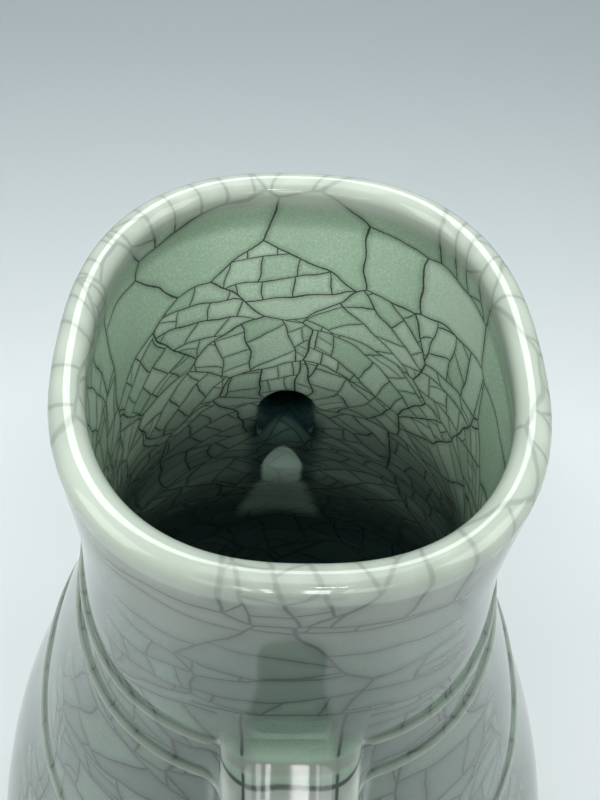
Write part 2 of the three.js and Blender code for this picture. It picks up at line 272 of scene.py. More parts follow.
def rings(z, inset, face=None):
    # points of the wall: one row for each height z, all columns round the plan;
    # face gives the reach of the lug's columns from their x and z
    z, inset = z[:, None], inset[:, None]
    face = face or (lambda x, z: wallReach(x, z, inset))
    edge = lug["panelHalf"]
    x = np.linspace(-edge, edge, grid["samples"])[None, :] + 0 * z
    lugX = evenlyAlong(x, x, face(x, z), grid["lugColumns"])
    lugY = face(lugX, z)
    a, b, power = planAt(z, inset)
    end = np.arccos((edge / a) ** (power / 2))
    s = np.linspace(-1, 1, grid["samples"])[None, :]

    def side(turn):
        c, w = np.abs(np.cos(turn)), np.sin(turn)
        return a * c ** (2 / power), b * np.sign(w) * np.abs(w) ** (2 / power)

    turn = evenlyAlong(s * end, *side(s * end), grid["sideColumns"] + 2)[:, 1:-1]
    sideX, sideY = side(turn)
    x = np.concatenate([lugX, sideX, -lugX, -sideX], axis=1)
    y = np.concatenate([-lugY, sideY, lugY, -sideY], axis=1)
    return np.stack([x, y, z + 0 * x], axis=-1)


heights = levels()
inHeights = heights[heights >= vase["floorTop"] - 1e-9]
outerGrid = rings(heights, -stringSwell(heights), lugFace)
innerGrid = rings(inHeights, wallAt(inHeights), hollowFace)
turns = np.linspace(0, math.pi, grid["rollSteps"] + 1)[1:-1]
rollZ = lipCentre + vase["lipRadius"] * np.sin(turns)
rollInset = vase["lipRadius"] * (1 - np.cos(turns))
rollGrid = rings(rollZ, rollInset)
print("surfaces worked out:", outerGrid.shape, innerGrid.shape)


def normalsOf(points):
    # across a closed grid: the step to the next column times the step to the next row
    around = np.roll(points, -1, axis=1) - np.roll(points, 1, axis=1)
    up = np.gradient(points, axis=0)
    n = np.cross(around, up)
    return n / np.maximum(np.linalg.norm(n, axis=-1, keepdims=True), 1e-12)


whole = np.concatenate([outerGrid, rollGrid, innerGrid[::-1]])
rollStart, innerStart = len(heights), len(heights) + len(turns)


def split(values):
    # the outer wall's rows from below, the lip's from outside in, the inner wall's from below
    return values[:rollStart], values[rollStart:innerStart], values[innerStart:][::-1]


outerNormals, rollNormals, innerNormals = split(normalsOf(whole))

# How thinly the glaze lies: over the lip and on the crest of each string.
lipRun = {"edge": 0.0026, "outside": 0.010, "inside": 0.0036, "outsideShare": 0.3}
below = lipCentre - whole[:, 0, 2]
wholeThin = np.exp(-(below / lipRun["inside"]) ** 2)
outsideThin = lipRun["outsideShare"] * np.exp(-(below / lipRun["outside"]) ** 2)
outsideThin += (1 - lipRun["outsideShare"]) * (1 - smoothStep(below / lipRun["edge"]))
wholeThin[:rollStart] = outsideThin[:rollStart] + stringSwell(heights) / strings["proud"]
wholeThin[rollStart:innerStart] = 1


# The glaze is laid out flat for its crackle: across, the share of the way round each level;
# upward, the way along the profile divided by the girth there, so cells keep their shape.
layout = {"radius": 0.057, "cut": 1.40 * math.pi}
quarterColumn = grid["lugColumns"] + grid["sideColumns"] // 2


def layOut(points):
    steps = np.linalg.norm(np.roll(points, -1, axis=1) - points, axis=-1)
    along = np.cumsum(steps, axis=1) - steps
    middle = grid["lugColumns"] // 2
    turn = 2 * math.pi * (along - along[:, middle:middle + 1]) / steps.sum(axis=1, keepdims=True)
    girth = (points[:, quarterColumn, 0] + np.abs(points[:, 0, 1])) / 2 / layout["radius"]
    profile = points[:, quarterColumn]
    rise = np.linalg.norm(np.diff(profile, axis=0), axis=-1)
    way = np.concatenate([[0], np.cumsum(rise / ((girth[1:] + girth[:-1]) / 2))])
    turn = turn - layout["cut"] + math.pi
    one = np.ones_like(turn)
    return np.stack([np.cos(turn), np.sin(turn), way[:, None] * one, girth[:, None] * one], axis=-1)


thinColumns = np.repeat(wholeThin[:, None, None], columnCount, axis=1)
outerSkin, rollSkin, innerSkin = split(np.concatenate([layOut(whole), thinColumns], axis=-1))


def wayOutside(drop):
    return float(np.interp(top - drop, heights, outerSkin[:, 0, 2]))


def wayInside(drop):
    return float(np.interp(top - drop, inHeights, innerSkin[:, 0, 2]))


lipWay = wayOutside(vase["lipRadius"])
print("glaze laid out, its way from the foot to the lip:", lipWay)


def floats(values):
    return np.ascontiguousarray(values, dtype=np.float32).ravel()


def linked(name, data):
    obj = bpy.data.objects.new(name, data)
    bpy.context.scene.collection.objects.link(obj)
    return obj


def makeMesh(name, points, faces, normals=None, skin=None, material=None):
    # faces: arrays of corner numbers, one array for each number of corners
    mesh = bpy.data.meshes.new(name)
    mesh.vertices.add(len(points))
    mesh.vertices.foreach_set("co", floats(points))
    corners = np.concatenate([f.ravel() for f in faces])
    sizes = np.concatenate([np.full(len(f), f.shape[1]) for f in faces])
    starts = np.concatenate([[0], np.cumsum(sizes)[:-1]])
    mesh.loops.add(len(corners))
    mesh.loops.foreach_set("vertex_index", corners.astype(np.int32))
    mesh.polygons.add(len(sizes))
    mesh.polygons.foreach_set("loop_start", starts.astype(np.int32))
    mesh.polygons.foreach_set("use_smooth", np.ones(len(sizes), dtype=bool))
    mesh.update(calc_edges=True)
    mesh.validate()
    if material is not None:
        mesh.materials.append(material)
    if skin is not None:
        lay = mesh.attributes.new("lay", "FLOAT_VECTOR", "POINT")
        lay.data.foreach_set("vector", floats(skin[:, :3]))
        for layerName, column in (("girth", 3), ("thin", 4)):
            layer = mesh.attributes.new(layerName, "FLOAT", "POINT")
            layer.data.foreach_set("value", floats(skin[:, column]))
    if normals is not None:
        mesh.normals_split_custom_set_from_vertices(normals.tolist())
    return linked(mesh.name, mesh)


def turnedOut(points, quads):
    # the signed volume of a closed mesh tells whether its faces point out
    p = points[quads]
    one = np.einsum("ij,ij->i", p[:, 0], np.cross(p[:, 1], p[:, 2]))
    two = np.einsum("ij,ij->i", p[:, 0], np.cross(p[:, 2], p[:, 3]))
    return quads if (one + two).sum() > 0 else quads[:, ::-1]


def weld(points, quads, extras):
    # one point where several lie together, and faces without the corners that this folds away
    first, back = np.unique(np.round(points * 1e8).astype(np.int64), axis=0,
                            return_index=True, return_inverse=True)[1:]
    quads = back.ravel()[quads]
    same = quads == np.roll(quads, -1, axis=1)
    folds = same.sum(axis=1)
    fours = quads[folds == 0]
    threes = quads[folds == 1][~same[folds == 1]].reshape(-1, 3)
    used = np.unique(np.concatenate([fours.ravel(), threes.ravel()]))
    renumber = np.zeros(len(first), dtype=np.int64)
    renumber[used] = np.arange(len(used))
    kept = first[used]
    return points[kept], [renumber[fours], renumber[threes]], [e[kept] for e in extras]


def settle(obj, node):
    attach(obj, "root")
    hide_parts(node)


def shellPiece(name, node, outer, inner, mask):
    # a closed piece of wall between an outer and an inner grid of (points, normals, skin),
    # made of the cells that mask keeps, in every row the same ones if it has one row
    rows, cols = outer[0].shape[:2]
    mask = np.broadcast_to(mask, (rows - 1, cols))
    points, normals, skin = (
        np.concatenate([far, near]).reshape(-1, far.shape[-1]) for far, near in zip(outer, inner))
    number = np.arange(rows * cols).reshape(rows, cols)
    o, i = number, number + rows * cols
    nextO, nextI = np.roll(o, -1, axis=1), np.roll(i, -1, axis=1)
    outQuads = np.stack([o[:-1], nextO[:-1], nextO[1:], o[1:]], -1)[mask]
    inQuads = np.stack([i[:-1], i[1:], nextI[1:], nextI[:-1]], -1)[mask]
    padded = np.pad(mask, ((1, 1), (0, 0)))
    below, above = padded[:-1], padded[1:]
    flat = np.stack([o, i, nextI, nextO], -1)
    flatQuads = np.concatenate([flat[above & ~below], flat[below & ~above][:, ::-1]])
    left = np.roll(mask, 1, axis=1)
    upright = np.stack([o[:-1], o[1:], i[1:], i[:-1]], -1)
    uprightQuads = np.concatenate([upright[mask & ~left], upright[left & ~mask][:, ::-1]])
    quads = turnedOut(points, np.concatenate([outQuads, inQuads, flatQuads, uprightQuads]))
    points, faces, (normals, skin) = weld(points, quads, (normals, skin))
    obj = makeMesh(name, points, faces, normals, skin, wallGlaze)
    settle(obj, node)


def ringPiece(name, node, points, normals, skin, material):
    # a ring whose cross-section is closed: the last row joins the first
    rows, cols = points.shape[:2]
    number = np.arange(rows * cols).reshape(rows, cols)
    around, up = np.roll(number, -1, axis=1), np.roll(number, -1, axis=0)
    quads = np.stack([number, around, np.roll(around, -1, axis=0), up], -1)
    quads = turnedOut(points.reshape(-1, 3), quads.reshape(-1, 4))
    obj = makeMesh(name, points.reshape(-1, 3), [quads], normals.reshape(-1, 3), skin.reshape(-1, 5),
                   material)
    settle(obj, node)


class Graph:
    def __init__(self, tree):
        self.tree = tree

    def add(self, kind, inputs=None, **settings):
        node = self.tree.nodes.new("ShaderNode" + kind)
        for key, value in settings.items():
            setattr(node, key, value)
        for key, value in (inputs or {}).items():
            socket = node.inputs[key]
            if isinstance(value, bpy.types.NodeSocket):
                self.tree.links.new(value, socket)
            else:
                socket.default_value = value
        return node

    def math(self, operation, a, b=0.0, c=0.0):
        return self.add("Math", {0: a, 1: b, 2: c}, operation=operation).outputs[0]

    def times(self, value, *others):
        for other in others:
            value = self.math("MULTIPLY", value, other)
        return value

    def plus(self, value, *others):
        for other in others:
            value = self.math("ADD", value, other)
        return value

    def minus(self, a, b):
        return self.math("SUBTRACT", a, b)

    def size(self, a):
        return self.math("ABSOLUTE", a)

    def vector(self, operation, a, b=(0, 0, 0)):
        node = self.add("VectorMath", {0: a, 1: b}, operation=operation)
        return node.outputs[1 if operation == "DOT_PRODUCT" else 0]

    def scaled(self, a, factor):
        return self.add("VectorMath", {0: a, 3: factor}, operation="SCALE").outputs[0]

    def parts(self, vector):
        return self.add("SeparateXYZ", {0: vector}).outputs

    def flat(self, x, y):
        return self.add("CombineXYZ", {0: x, 1: y}).outputs[0]

    def ramp(self, value, fromLow, fromHigh, toLow=0.0, toHigh=1.0):
        inputs = {0: value, 1: fromLow, 2: fromHigh, 3: toLow, 4: toHigh}
        return self.add("MapRange", inputs, interpolation_type="SMOOTHSTEP").outputs[0]

    def mix(self, factor, a, b):
        return self.add("Mix", {0: factor, 6: a, 7: b}, data_type="RGBA").outputs[2]

    def noise(self, place, scale, detail, output="Fac"):
        settings = {"Vector": place, "Scale": scale, "Detail": detail}
        return self.add("TexNoise", settings).outputs[output]

    def cells(self, settings, feature, dimensions):
        return self.add("TexVoronoi", settings, feature=feature,
                        voronoi_dimensions=dimensions).outputs

    def attribute(self, name, output="Fac"):
        return self.add("Attribute", attribute_name=name).outputs[output]

    def place(self):
        return self.add("TexCoord").outputs["Object"]

    def surface(self, inputs):
        shader = self.add("BsdfPrincipled", inputs)
        self.add("OutputMaterial", {"Surface": shader.outputs[0]})


def newMaterial(name):
    material = bpy.data.materials.new(name)
    material.use_nodes = True
    material.node_tree.nodes.clear()
    return material, Graph(material.node_tree)


# The crackle: old cracks part the glaze into large cells, and younger ones cut these across, then
# each part again across the last cut, so every young crack ends at an older one.
crackle = {
    "size": 0.0285, "stretch": (0.86, 1.12, 1),
    "spacings": [0.0105, 0.0092, 0.0052],
    "uneven": 0.9,
    "widths": [1.0, 0.85, 0.72, 0.5],
    "core": 0.15, "halo": 0.34, "haloReach": 4.6,
    # how far the lines wander, over what length, with what detail
    "bends": [(0.0042, 0.028, 0.0), (0.0013, 0.0085, 0.0), (0.00018, 0.0017, 1.0)],
    "cutSway": 0.02, "swayScale": 14.0,
    "turnSpread": 1.25,  # how far a cut turns from square to the last one
    "firstShift": 1.7, "nextShift": 2.3,  # keep one cell's cuts clear of the next one's
}


def layOfGlaze(g):
    # the turn round the vase and the way up its profile, both in metres at the neck; the line
    # where the turn starts again sways, and counts as a crack
    lay = g.parts(g.attribute("lay", "Vector"))
    sway = g.add("TexNoise", {"W": g.times(lay[2], crackle["swayScale"]), "Detail": 0.0},
                 noise_dimensions="1D").outputs["Fac"]
    sway = g.times(g.minus(sway, 0.5), 4 * crackle["cutSway"])
    turned = g.math("WRAP", g.plus(g.math("ARCTAN2", lay[1], lay[0]), sway), math.pi, -math.pi)
    across = g.times(g.minus(turned, sway), layout["radius"])
    toCut = g.times(g.minus(math.pi, g.size(turned)), layout["radius"])
    return g.flat(across, lay[2]), g.attribute("girth"), g.attribute("thin"), toCut


def layOfFloor(g):
    place = g.parts(g.place())
    return g.flat(place[0], place[1]), 1.0, 0.0, 1.0


def bentPlace(g, flat):
    bent = flat
    for far, length, detail in crackle["bends"]:
        push = g.vector("SUBTRACT", g.noise(flat, 1 / length, detail, "Color"), (0.5, 0.5, 0.5))
        bent = g.vector("ADD", bent, g.scaled(push, 2 * far))
    return bent


def oldCells(g, place, size):
    # distance to the nearest old crack, and the cell's three random numbers and its centre
    settings = {"Vector": g.vector("MULTIPLY", place, crackle["stretch"]), "Scale": 1 / size}
    edge = g.cells(settings, "DISTANCE_TO_EDGE", "2D")
    cell = g.cells(settings, "F1", "2D")
    centre = g.vector("DIVIDE", cell["Position"], crackle["stretch"])
    return g.times(edge["Distance"], size), cell["Color"], centre


def cutAngle(g, way, chance, look):
    # the first cuts run level on the outside, stand across the lip and lie any way inside
    across, spread = g.ramp(way, *look["levelCuts"]), g.ramp(way, *look["freeCuts"])
    return g.math("MULTIPLY_ADD", g.minus(chance, 0.5), spread, across)


def cutsOf(g, place, spacing, room, angle, shift):
    # distance to the nearest of a row of roughly parallel cuts, and the strip's random numbers
    direction = g.flat(g.math("COSINE", angle), g.math("SINE", angle))
    along = g.plus(g.math("DIVIDE", g.vector("DOT_PRODUCT", place, direction), room), shift)
    settings = {"W": along, "Scale": 1 / spacing, "Randomness": crackle["uneven"]}
    edge = g.cells(settings, "DISTANCE_TO_EDGE", "1D")
    cell = g.cells(settings, "F1", "1D")
    return g.times(edge["Distance"], spacing, room), cell["Color"]


def splitShare(g, way, shares):
    # how likely a cell is cracked again, from the way up to its centre: a ramp between given points
    share = shares[0][1]
    for (fromWay, fromShare), (toWay, toShare) in zip(shares[:-1], shares[1:]):
        share = g.plus(g.ramp(way, fromWay, toWay, 0.0, toShare - fromShare), share)
    return share


def crackMark(g, distance, wide):
    # a dark core with soft edges, and a faint stain that reaches further
    core = g.ramp(distance, g.times(wide, crackle["core"]), wide, 1.0, 0.0)
    halo = g.ramp(distance, 0.0, g.times(wide, crackle["haloReach"]), crackle["halo"], 0.0)
    return g.math("MAXIMUM", core, halo)


def cracksOf(g, bent, toCut, girth, wide, look):
    # all the cracks, each cell's own tone, and which old cells are cut at least once
    distance, chance, centre = oldCells(g, bent, crackle["size"] * look["scale"])
    distance = g.times(g.math("MINIMUM", distance, toCut), girth)
    line = crackMark(g, distance, g.times(wide, crackle["widths"][0]))
    way, numbers = g.parts(centre)[1], g.parts(chance)
    tone, angle = numbers[0], cutAngle(g, way, numbers[1], look)
    shift = g.times(numbers[2], crackle["firstShift"])
    room = g.plus(g.ramp(way, *look["roomUp"]), g.ramp(way, *look["roomDown"]))
    cutOnce = on = g.math("LESS_THAN", numbers[2], splitShare(g, way, look["shares"][0]))
    for age, spacing in enumerate(crackle["spacings"]):
        if age > 0:
            turn = g.times(g.minus(numbers[1], 0.5), crackle["turnSpread"])
            angle = g.plus(angle, turn, math.pi / 2)
            shift = g.math("MULTIPLY_ADD", numbers[2], crackle["nextShift"], shift)
            on = g.times(on, g.math("LESS_THAN", numbers[2], splitShare(g, way, look["shares"][age])))
        distance, chance = cutsOf(g, bent, spacing * look["scale"], room, angle, shift)
        mark = crackMark(g, g.times(distance, girth), g.times(wide, crackle["widths"][age + 1]))
        line = g.math("MAXIMUM", line, g.times(mark, on))
        numbers = g.parts(chance)
        tone = g.mix(on, tone, numbers[0])
    return line, tone, cutOnce


def lugCracks(g, place, look):
    # the lug has cracks of its own: one along its crease with the neck, one each side of a clear
    # panel and one across its crown; also given is where they take the place of the others
    parts = g.parts(place)
    aside, out, up = g.size(parts[0]), g.size(parts[1]), parts[2]
    onLug = g.times(g.math("GREATER_THAN", out, look["lugFrom"]),
                    g.math("GREATER_THAN", up, lug["spring"]))
    within = g.times(g.math("LESS_THAN", up, look["crease"]), g.math("LESS_THAN", aside, lug["half"]),
                     onLug)
    crease = g.plus(g.size(g.minus(up, look["crease"])), g.minus(1.0, onLug),
                    g.math("GREATER_THAN", aside, look["creaseReach"]))
    panel = g.math("MINIMUM", g.size(g.minus(aside, look["lugSide"])), g.size(g.minus(up, lugCrown)))
    return g.math("MINIMUM", crease, g.plus(panel, g.minus(1.0, within))), within


def hollowShadeAndLight(g, aside, out, up, inside, look):
    # behind each lug: painted shade, dark above and along the sides of the hollow, and painted light
    # down its middle, a pale bulb arched like a parabola and a wider pale foot
    behind = g.times(inside, g.ramp(out, *look["behind"]))
    arched = g.math("MULTIPLY_ADD", g.times(aside, aside), look["bulbArch"], up)
    rounded = g.math("MULTIPLY_ADD", aside, look["bulbRound"], up)
    bulb = g.times(g.ramp(aside, *look["bulbSide"]), g.ramp(arched, *look["bulbTop"]),
                   g.ramp(rounded, *look["bulbBottom"]))
    spread = g.math("MULTIPLY_ADD", g.minus(up, look["footTop"][0]), look["footSpread"], aside)
    foot = g.times(g.ramp(spread, *look["footSide"]), g.ramp(up, *look["footTop"]),
                   g.ramp(up, *look["footBottom"]))
    hollowLit = g.times(g.math("MAXIMUM", bulb, g.times(foot, look["footShare"])), look["hollowLitShare"], behind)
    channel = g.times(g.ramp(aside, *look["channelSide"]), g.ramp(up, *look["channelBottom"]))
    return hollowLit, g.times(behind, g.ramp(up, *look["deepest"]), channel)


def glazeMaterial(name, look, layOf):
    material, g = newMaterial(name)
    flat, girth, thin, toCut = layOf(g)
    place, way = g.place(), g.parts(flat)[1]
    parts = g.parts(place)
    aside, out, up = g.size(parts[0]), g.size(parts[1]), parts[2]
    inside = g.ramp(way, *look["inside"])
    outside = g.math("LESS_THAN", way, look["inside"][0])
    wide = g.times(g.ramp(way, *look["inside"], *look["lineWide"]), g.ramp(thin, *look["lipWide"]))

    bent = bentPlace(g, flat)
    line, tone, cutOnce = cracksOf(g, bent, toCut, girth, wide, look)
    wobble = g.scaled(g.vector("SUBTRACT", bent, flat), look["lugWobble"])
    own, within = lugCracks(g, g.vector("ADD", place, wobble), look)
    cleared = g.times(within, outside)
    line = g.times(line, g.minus(1.0, cleared))
    line = g.math("MAXIMUM", line, g.times(crackMark(g, own, wide), outside))

    mottle = g.minus(g.noise(place, look["mottleScale"], 1.5), 0.5)
    cloud = g.noise(place, look["cloudScale"], 3.0)
    shade = g.plus(g.times(tone, look["toneShare"]), g.times(cloud, look["cloudShare"]),
                   g.times(mottle, look["mottle"]), look["shadeLift"])
    shade = g.ramp(shade, *look["shadeRun"])
    grey = g.times(cutOnce, g.ramp(tone, *look["greyTones"]), look["greyShare"])
    # the lug's top: thick glaze, brightened by painted light
    poolAndLight = g.times(g.ramp(out, *look["poolAndLightOut"]), cleared, g.ramp(up, *look["poolAndLightUp"]))
    # partly real pale glaze, partly painted light
    paleAndLit = g.math("MAXIMUM", g.times(inside, g.ramp(way, *look["paleAndLit"])), poolAndLight)
    # painted light and painted shade in the hollow behind each lug
    hollowLit, hollow = hollowShadeAndLight(g, aside, out, up, inside, look)
    onString = g.times(g.ramp(thin, *look["stringCrest"]),
                       g.math("LESS_THAN", way, look["levelCuts"][0]))
    share = g.times(g.ramp(way, *look["inside"], *look["lineShare"]), g.ramp(thin, *look["lipLine"]),
                    g.math("MULTIPLY_ADD", hollowLit, -look["hollowLitHides"], 1.0),
                    g.math("MULTIPLY_ADD", onString, -look["stringHides"], 1.0))
    # laid over each other in this order: how much of each, and its colour
    coats = [
        (shade, look["light"]),
        (grey, look["grey"]),
        (paleAndLit, g.mix(shade, look["paleAndLitDeep"], look["paleAndLitLight"])),
        # painted shade in the hollow behind each lug
        (hollow, look["hollowShadeColour"]),
        # painted shade on the whole outside
        (g.times(outside, look["outsideShade"]), look["outsideShadeColour"]),
        # painted reflection of the neck on the lug's top
        (g.times(poolAndLight, g.ramp(up, *look["lugNeckReflection"])), look["neckReflectionColour"]),
        # painted light on the lug's crown
        (g.times(poolAndLight, g.ramp(up, *look["lugPaintedLight"])), look["paintedLightColour"]),
        # painted reflection under the lip
        (g.times(outside, g.ramp(way, *look["band"])), look["lipReflectionColour"]),
        (g.ramp(thin, *look["thin"]), look["thinColour"]),
        # painted reflection below the crown's crack
        (g.times(cleared, g.ramp(up, *look["crownReflection"])), look["crownReflectionColour"]),
        # painted shade deep inside
        (g.ramp(way, *look["depth"], 0.0, look["depthShadeShare"]), look["depthShadeColour"]),
        # painted light in the hollow behind each lug
        (hollowLit, look["hollowLitColour"]),
        (g.times(line, share), g.mix(inside, look["lineOutside"], look["lineInside"])),
    ]
    colour = look["deep"]
    for amount, coat in coats:
        colour = g.mix(amount, colour, coat)
    swell = g.noise(place, look["swellScale"], 1.0)
    height = g.minus(g.times(swell, look["swell"]), g.times(line, look["dent"]))
    bump = {"Strength": look["bump"], "Distance": look["bumpHeight"], "Height": height}
    g.surface({"Base Color": colour, "Roughness": look["roughness"], "IOR": look["refraction"],
               "Normal": g.add("Bump", bump).outputs[0]})
    return material


lugCrown = top - 0.0785
# A pair is where a change starts and ends, a four also the values it has there. The shares of
# cells cracked again go by the way up the outside, over the lip and down the inside: first those
# of the oldest cells, then the next, then the third.
glazeLook = {
    "scale": 1.0,
    "inside": (lipWay, wayInside(0.012)),
    "lineWide": (0.00080, 0.00046), "lipWide": (0.2, 1.0, 1.0, 1.55),
    "lineShare": (0.88, 0.92), "lipLine": (0.3, 1.0, 1.0, 0.40),
    "lineOutside": (0.045, 0.065, 0.058, 1), "lineInside": (0.012, 0.018, 0.016, 1),
    "levelCuts": (wayOutside(0.030), wayOutside(0.014), math.pi / 2, 0.0),
    "freeCuts": (wayInside(0.010), wayInside(0.022), 0.8, math.pi),
    "roomUp": (wayOutside(0.02), lipWay, 1.2, 0.72), "roomDown": (lipWay, wayInside(0.02), 0.0, 0.28),
    "shares": [
        [(wayOutside(0.30), 1.0), (wayOutside(0.06), 1.0), (lipWay, 1.0), (wayInside(0.018), 0.15),
         (wayInside(0.042), 1.0)],
        [(wayOutside(0.16), 1.0), (wayOutside(0.085), 0.85), (wayOutside(0.05), 0.45), (lipWay, 0.0),
         (wayInside(0.018), 0.8), (wayInside(0.040), 1.0)],
        [(wayOutside(0.20), 1.0), (wayOutside(0.14), 0.3), (wayInside(0.035), 0.0),
         (wayInside(0.06), 0.22)],
    ],
    "lugFrom": 0.055, "crease": top - 0.0595, "creaseReach": 1.35 * lug["half"],
    "lugSide": 0.0116, "lugWobble": 0.45,
    "stringCrest": (0.1, 0.5), "stringHides": 0.65,
    "mottle": 1.25, "mottleScale": 1700.0, "cloudShare": 0.4, "cloudScale": 50.0,
    "toneShare": 0.5, "shadeLift": 0.2, "shadeRun": (0.25, 1.0),
    "deep": (0.115, 0.205, 0.15, 1), "light": (0.23, 0.34, 0.26, 1),
    "greyTones": (0.35, 0.95, 1.0, 0.15), "greyShare": 0.7, "grey": (0.185, 0.25, 0.215, 1),
    # paler inside near the mouth and on the lugs' tops: partly the pale green of thick glaze, partly
    # painted light that fades deeper in
    "paleAndLit": (wayInside(0.045), wayInside(0.13), 1.0, 0.0),
    "paleAndLitDeep": (0.38, 0.55, 0.395, 1), "paleAndLitLight": (0.57, 0.72, 0.575, 1),
    # painted shade: the whole outside is darkened a little
    "outsideShade": 0.15, "outsideShadeColour": (0.03, 0.045, 0.04, 1),
    # painted reflection: a brownish-grey band on the outside just under the lip
    "band": (wayOutside(0.034), wayOutside(0.011), 0.0, 0.6), "lipReflectionColour": (0.25, 0.255, 0.20, 1),
    "thin": (0.02, 0.9, 0.0, 0.95), "thinColour": (0.43, 0.495, 0.42, 1),
    # painted shade: the inside darkens far down, where little light reaches
    "depth": (wayInside(0.165), wayInside(0.235)), "depthShadeShare": 0.88,
    "depthShadeColour": (0.035, 0.085, 0.08, 1),
    # the top of each lug, where the glaze is thick, also brightened by painted light
    "poolAndLightOut": (0.060, 0.067), "poolAndLightUp": (0.235, 0.262),
    # painted reflection of the neck: darker green towards the crease
    "lugNeckReflection": (lugCrown + 0.002, lugCrown + 0.010, 0.0, 0.4), "neckReflectionColour": (0.24, 0.48, 0.30, 1),
    # painted light on the lug's crown
    "lugPaintedLight": (lugCrown + 0.014, lugCrown + 0.002, 0.0, 0.75), "paintedLightColour": (0.64, 0.88, 0.69, 1),
    # painted reflection of bright light: a pale band below the crack across the crown
    "crownReflection": (lugCrown + 0.0006, lugCrown - 0.0008, 0.0, 0.9),
    "crownReflectionColour": (0.72, 0.80, 0.70, 1),
    # the hollow behind it: painted shade in its top and sides, painted light in its pale bulb and
    # foot
    "behind": (0.059, 0.065), "deepest": (top - 0.123, top - 0.118, 0.72, 1.0),
    "channelSide": (0.0165, 0.0105), "channelBottom": (top - 0.182, top - 0.166),
    "hollowShadeColour": (0.012, 0.045, 0.047, 1),
    "bulbArch": 200.0, "bulbRound": -1.8, "bulbSide": (0.0090, 0.0068),
    "bulbTop": (top - 0.1365, top - 0.1395), "bulbBottom": (top - 0.189, top - 0.181),
    "footSpread": 0.18, "footShare": 0.95, "footSide": (0.0115, 0.0055),
    "footTop": (top - 0.166, top - 0.176), "footBottom": (top - 0.234, top - 0.210),
    "hollowLitShare": 0.97, "hollowLitHides": 0.75, "hollowLitColour": (0.66, 0.90, 0.76, 1),
    "swell": 0.3, "swellScale": 90.0, "dent": 0.03, "bump": 0.2, "bumpHeight": 0.0006,
    "roughness": 0.06, "refraction": 1.41,
}
floorLook = dict(glazeLook, scale=1.4, depthShadeShare=0.3, roughness=0.45)
wallGlaze = glazeMaterial("celadonWall", glazeLook, layOfGlaze)
floorGlaze = glazeMaterial("celadonFloor", floorLook, layOfFloor)
print("glazes made")


seatGrid = rings(heights, np.full(len(heights), strings["seat"]))
backGrid = rings(heights, np.full(len(heights), strings["seat"] - strings["clearance"]))
innerShift = len(heights) - len(inHeights)


def rowsBetween(low, high):
    return np.where((heights >= low - grid["same"]) & (heights <= high + grid["same"]))[0]


def courseRows(low, high):
    # row numbers and whether each lies in a string's seat; a seat's edge is there twice
    rows, seated = [], []
    for k in rowsBetween(low, high):
        gap = min((heights[k] - s for s in strings["heights"]), key=abs)
        if abs(abs(gap) - strings["half"]) < grid["same"]:
            rows += [k, k]
            seated += [False, True] if gap < 0 else [True, False]
        else:
            rows.append(k)
            seated.append(abs(gap) < strings["half"])
    return np.array(rows), np.array(seated)


cells = np.arange(columnCount)
frontEnd, backEnd = grid["lugColumns"] - 1, backStart + grid["lugColumns"] - 1
frontCells = cells < frontEnd
rightCells = (cells >= frontEnd) & (cells < backStart)
backCells = (cells >= backStart) & (cells < backEnd)
leftCells = cells >= backEnd


def outerPart(rows):
    return [part[rows] for part in (outerGrid, outerNormals, outerSkin)]


def innerPart(rows):
    return [part[rows - innerShift] for part in (innerGrid, innerNormals, innerSkin)]


def wallPiece(name, node, low, high):
    rows, seated = courseRows(low, high)
    points, normals, skin = outerPart(rows)
    points = np.where(seated[:, None, None], seatGrid[rows], points)
    mask = np.ones((len(rows) - 1, columnCount), dtype=bool)
    middle = (heights[rows][:-1] + heights[rows][1:]) / 2
    inPanel = (middle > lug["panelBottom"]) & (middle < lug["panelTop"])
    mask[inPanel] &= ~(frontCells | backCells)
    shellPiece(name, node, (points, normals, skin), innerPart(rows), mask)


def stringPiece(name, node, height, columns):
    rows = rowsBetween(height - strings["half"], height + strings["half"])
    points, normals, skin = outerPart(rows)
    shellPiece(name, node, (points, normals, skin), (backGrid[rows], -normals, skin), columns)


def lugPiece(name, node, columns):
    rows = rowsBetween(lug["panelBottom"], lug["panelTop"])
    shellPiece(name, node, outerPart(rows), innerPart(rows), columns)


def rimPiece(name, node):
    rows = rowsBetween(vase["rimSeam"], lipCentre)
    roll = (rollGrid, rollNormals, rollSkin)
    points, normals, skin = (np.concatenate([outer, over, inner[::-1]])
                             for outer, over, inner in zip(outerPart(rows), roll, innerPart(rows)))
    ringPiece(name, node, points, normals, skin, wallGlaze)


wallPiece("neckWall", "neck", vase["lowerString"], vase["rimSeam"])
wallPiece("shoulderWall", "shoulder", vase["bellyString"], vase["lowerString"])
wallPiece("upperBellyWall", "upper_belly", vase["bellyHeight"], vase["bellyString"])
wallPiece("lowerBellyWall", "lower_belly", vase["floorTop"], vase["bellyHeight"])
rimPiece("rolledLip", "mouth_rim")
lugPiece("frontLug", "front_lug", frontCells)
lugPiece("backLug", "back_lug", backCells)
stringPiece("upperStringRight", "upper_string_right", vase["upperString"], rightCells)
stringPiece("upperStringLeft", "upper_string_left", vase["upperString"], leftCells)
stringPiece("lowerStringRight", "lower_string_right", vase["lowerString"], rightCells)
stringPiece("lowerStringLeft", "lower_string_left", vase["lowerString"], leftCells)
stringPiece("bellyStringRing", "belly_string", vase["bellyString"], cells >= 0)
print("walls, lip, lugs and strings made")


